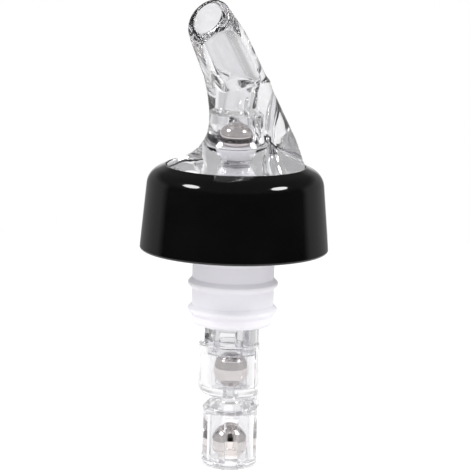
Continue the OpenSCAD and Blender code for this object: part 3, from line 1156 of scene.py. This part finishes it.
class POURER_OT_studio(bpy.types.Operator):
    """Sets up the pale floor, the white room, two softboxes and the camera"""

    bl_idname = "pourer.studio"
    bl_label = "Set Up Studio"

    light_turns = 40
    sensor = 36.0
    clip_near = 0.01
    clip_far = 20.0
    floor_r = 0.3
    floor_colour = (0.86, 0.855, 0.85, 1.0)
    floor_lift = 0.35
    box_away = 0.62
    box_size = (0.24, 0.16)
    box_turn = math.radians(72)
    box_rise = math.radians(42)
    # What glass sees at the sides and overhead, and the spans over which it changes
    glass_side = 0.65
    glass_side_span = (-0.95, -0.8)
    glass_top = 0.9
    glass_top_span = (0.35, 0.65)
    # What mirrors see at the sides, overhead and low on the camera's side
    mirror_side = 0.3
    mirror_side_span = (-0.995, -0.96)
    mirror_top = 0.3
    mirror_top_span = (0.25, 0.45)
    mirror_front = 0.03
    mirror_front_span = (-0.3, -0.1)
    mirror_low_span = (0.35, 0.55)
    # Light that the room gives overhead, from behind and from the camera's side
    top_level = 0.3
    top_span = (0.3, 0.75)
    back_share = 0.7
    front_share = 1.3
    share_span = (-0.4, 0.6)

    def execute(self, context):
        studio = context.scene.pourer_studio
        context.scene.view_settings.view_transform = "Standard"
        paths = context.scene.cycles
        paths.max_bounces = self.light_turns
        paths.glossy_bounces = self.light_turns
        paths.transmission_bounces = self.light_turns
        self.toward = Vector((math.sin(studio.azimuth), -math.cos(studio.azimuth), 0))
        self.right = Vector((math.cos(studio.azimuth), math.sin(studio.azimuth), 0))
        self.camera(context, studio)
        self.floor(context)
        self.room(context, studio)
        for side in (-1, 1):
            self.softbox(context, studio, side)
        return {"FINISHED"}

    def camera(self, context, studio):
        """Camera at the photograph's place, with its slight roll."""
        data = bpy.data.cameras.new("camera")
        data.lens = studio.lens
        data.sensor_width = self.sensor
        data.clip_start = self.clip_near
        data.clip_end = self.clip_far
        camera = bpy.data.objects.new("camera", data)
        context.scene.collection.objects.link(camera)
        flat = self.toward * math.cos(studio.elevation)
        away = flat + Vector((0, 0, math.sin(studio.elevation)))
        camera.location = Vector(studio.aim) + away * studio.distance
        look = (-away).to_track_quat("-Z", "Y").to_matrix().to_4x4()
        turn = look @ Matrix.Rotation(studio.roll, 4, "Z")
        camera.matrix_world = Matrix.Translation(camera.location) @ turn
        context.scene.camera = camera

    def floor(self, context):
        """Pale floor that shows white and keeps the object's shadow."""
        shape = bmesh.new()
        bmesh.ops.create_circle(shape, cap_ends=True, radius=self.floor_r, segments=TURN_STEPS)
        mesh = bpy.data.meshes.new("floor")
        bmesh.ops.translate(shape, vec=(0, 0, CAD_BOX[0][2]), verts=shape.verts)
        shape.to_mesh(mesh)
        shape.free()
        floor = bpy.data.objects.new("floor", mesh)
        context.scene.collection.objects.link(floor)
        finish = bpy.data.materials.new("pale_floor")
        finish.use_nodes = True
        tree = finish.node_tree
        tree.nodes.clear()
        matte = tree.nodes.new("ShaderNodeBsdfDiffuse")
        matte.inputs["Color"].default_value = self.floor_colour
        glow = tree.nodes.new("ShaderNodeEmission")
        lift = tree.nodes.new("ShaderNodeMath")
        lift.operation = "MULTIPLY"
        lift.inputs[1].default_value = self.floor_lift
        tree.links.new(self.seen(tree), lift.inputs[0])
        tree.links.new(lift.outputs[0], glow.inputs["Strength"])
        both = tree.nodes.new("ShaderNodeAddShader")
        tree.links.new(matte.outputs[0], both.inputs[0])
        tree.links.new(glow.outputs[0], both.inputs[1])
        output = tree.nodes.new("ShaderNodeOutputMaterial")
        tree.links.new(both.outputs[0], output.inputs["Surface"])
        mesh.materials.append(finish)

    def seen(self, tree):
        """One where a camera, mirror or glass ray looks, nothing where light is gathered."""
        path = tree.nodes.new("ShaderNodeLightPath")
        total = path.outputs["Is Camera Ray"]
        for name in ("Is Glossy Ray", "Is Transmission Ray"):
            either = tree.nodes.new("ShaderNodeMath")
            either.operation = "MAXIMUM"
            tree.links.new(total, either.inputs[0])
            tree.links.new(path.outputs[name], either.inputs[1])
            total = either.outputs[0]
        return total

    def room(self, context, studio):
        """White room that glass sees greyer at the sides and mirrors see dark on the camera's side."""
        world = bpy.data.worlds.new("white_room")
        world.use_nodes = True
        tree = world.node_tree
        shader = tree.nodes["Background"]
        shader.inputs["Color"].default_value = (1.0, 1.0, 1.0, 1.0)
        path = tree.nodes.new("ShaderNodeLightPath")
        place = tree.nodes.new("ShaderNodeTexCoord")
        facing = tree.nodes.new("ShaderNodeVectorMath")
        facing.operation = "DOT_PRODUCT"
        facing.inputs[1].default_value = self.toward
        tree.links.new(place.outputs["Generated"], facing.inputs[0])
        apart = tree.nodes.new("ShaderNodeSeparateXYZ")
        tree.links.new(place.outputs["Generated"], apart.inputs[0])
        near = facing.outputs["Value"]
        up = apart.outputs["Z"]
        glass_overhead = ranged(tree, up, 1.0, self.glass_top, *self.glass_top_span)
        glass_beside = ranged(tree, near, 1.0, self.glass_side, *self.glass_side_span)
        glass = self.product(tree, glass_overhead, glass_beside)
        front = ranged(tree, near, 0.0, 1.0, *self.mirror_front_span)
        low = ranged(tree, up, 1.0, 0.0, *self.mirror_low_span)
        dark = ranged(tree, self.product(tree, front, low), 1.0, self.mirror_front, 0.0, 1.0)
        mirror_beside = ranged(tree, near, 1.0, self.mirror_side, *self.mirror_side_span)
        mirror_overhead = ranged(tree, up, 1.0, self.mirror_top, *self.mirror_top_span)
        mirror = self.product(tree, mirror_overhead, self.product(tree, mirror_beside, dark))
        seen = self.pick(tree, path.outputs["Is Transmission Ray"], mirror, glass)
        seen = self.pick(tree, path.outputs["Is Camera Ray"], seen, 1.0)
        light = ranged(tree, up, studio.room_level, self.top_level, *self.top_span)
        share = ranged(tree, near, self.back_share, self.front_share, *self.share_span)
        light = self.product(tree, light, share)
        strength = self.pick(tree, self.seen(tree), light, seen)
        tree.links.new(strength, shader.inputs["Strength"])
        context.scene.world = world

    def product(self, tree, first, second):
        """Product of two values."""
        node = tree.nodes.new("ShaderNodeMath")
        node.operation = "MULTIPLY"
        tree.links.new(first, node.inputs[0])
        tree.links.new(second, node.inputs[1])
        return node.outputs[0]

    def pick(self, tree, share, off, on):
        """Value that goes from off to on with a share."""
        mix = tree.nodes.new("ShaderNodeMix")
        tree.links.new(share, mix.inputs["Factor"])
        for name, value in (("A", off), ("B", on)):
            if isinstance(value, float):
                mix.inputs[name].default_value = value
            else:
                tree.links.new(value, mix.inputs[name])
        return mix.outputs["Result"]

    def softbox(self, context, studio, side):
        """Oval softbox beside the object, turned to face it."""
        data = bpy.data.lights.new("softbox", "AREA")
        data.shape = "ELLIPSE"
        data.size = self.box_size[0]
        data.size_y = self.box_size[1]
        data.energy = studio.box_power
        lamp = bpy.data.objects.new("softbox", data)
        context.scene.collection.objects.link(lamp)
        flat = self.toward * math.cos(self.box_turn) + self.right * (side * math.sin(self.box_turn))
        away = flat * math.cos(self.box_rise) + Vector((0, 0, math.sin(self.box_rise)))
        look = (-away).to_track_quat("-Z", "Y").to_matrix().to_4x4()
        lamp.matrix_world = Matrix.Translation(away * self.box_away) @ look
        lamp.visible_camera = False


BUILD_ORDER = (
    POURER_OT_finishes,
    POURER_OT_studio,
    POURER_OT_spout,
    POURER_OT_collar,
    POURER_OT_stopper,
    POURER_OT_tube,
    POURER_OT_seat,
    POURER_OT_tail,
    POURER_OT_cap,
    POURER_OT_breather,
    POURER_OT_balls,
)


class POURER_PT_parts(bpy.types.Panel):
    """Lists the pourer's sizes, finishes and build steps"""

    bl_idname = "POURER_PT_parts"
    bl_label = "Measured Pourer"
    bl_space_type = "VIEW_3D"
    bl_region_type = "UI"
    bl_category = "Pourer"

    def draw(self, context):
        scene = context.scene
        for group in (scene.pourer_sizes, scene.pourer_finishes, scene.pourer_studio):
            box = self.layout.box()
            for name in group.__annotations__:
                box.prop(group, name)
        for step in BUILD_ORDER:
            self.layout.operator(step.bl_idname)


GROUPS = {
    "pourer_sizes": PourerSizes,
    "pourer_finishes": PourerFinishes,
    "pourer_studio": PourerStudio,
}


def register():
    """Registers the groups, operators and panel."""
    for name, group in GROUPS.items():
        bpy.utils.register_class(group)
        setattr(bpy.types.Scene, name, PointerProperty(type=group))
    for step in BUILD_ORDER + (POURER_PT_parts,):
        bpy.utils.register_class(step)


def unregister():
    """Removes the panel, operators and groups."""
    for step in (POURER_PT_parts,) + BUILD_ORDER[::-1]:
        bpy.utils.unregister_class(step)
    for name, group in GROUPS.items():
        delattr(bpy.types.Scene, name)
        bpy.utils.unregister_class(group)


def main():
    """Builds every piece."""
    register()
    for step in BUILD_ORDER:
        area, name = step.bl_idname.split(".")
        getattr(getattr(bpy.ops, area), name)()


if __name__ == "__main__":
    main()
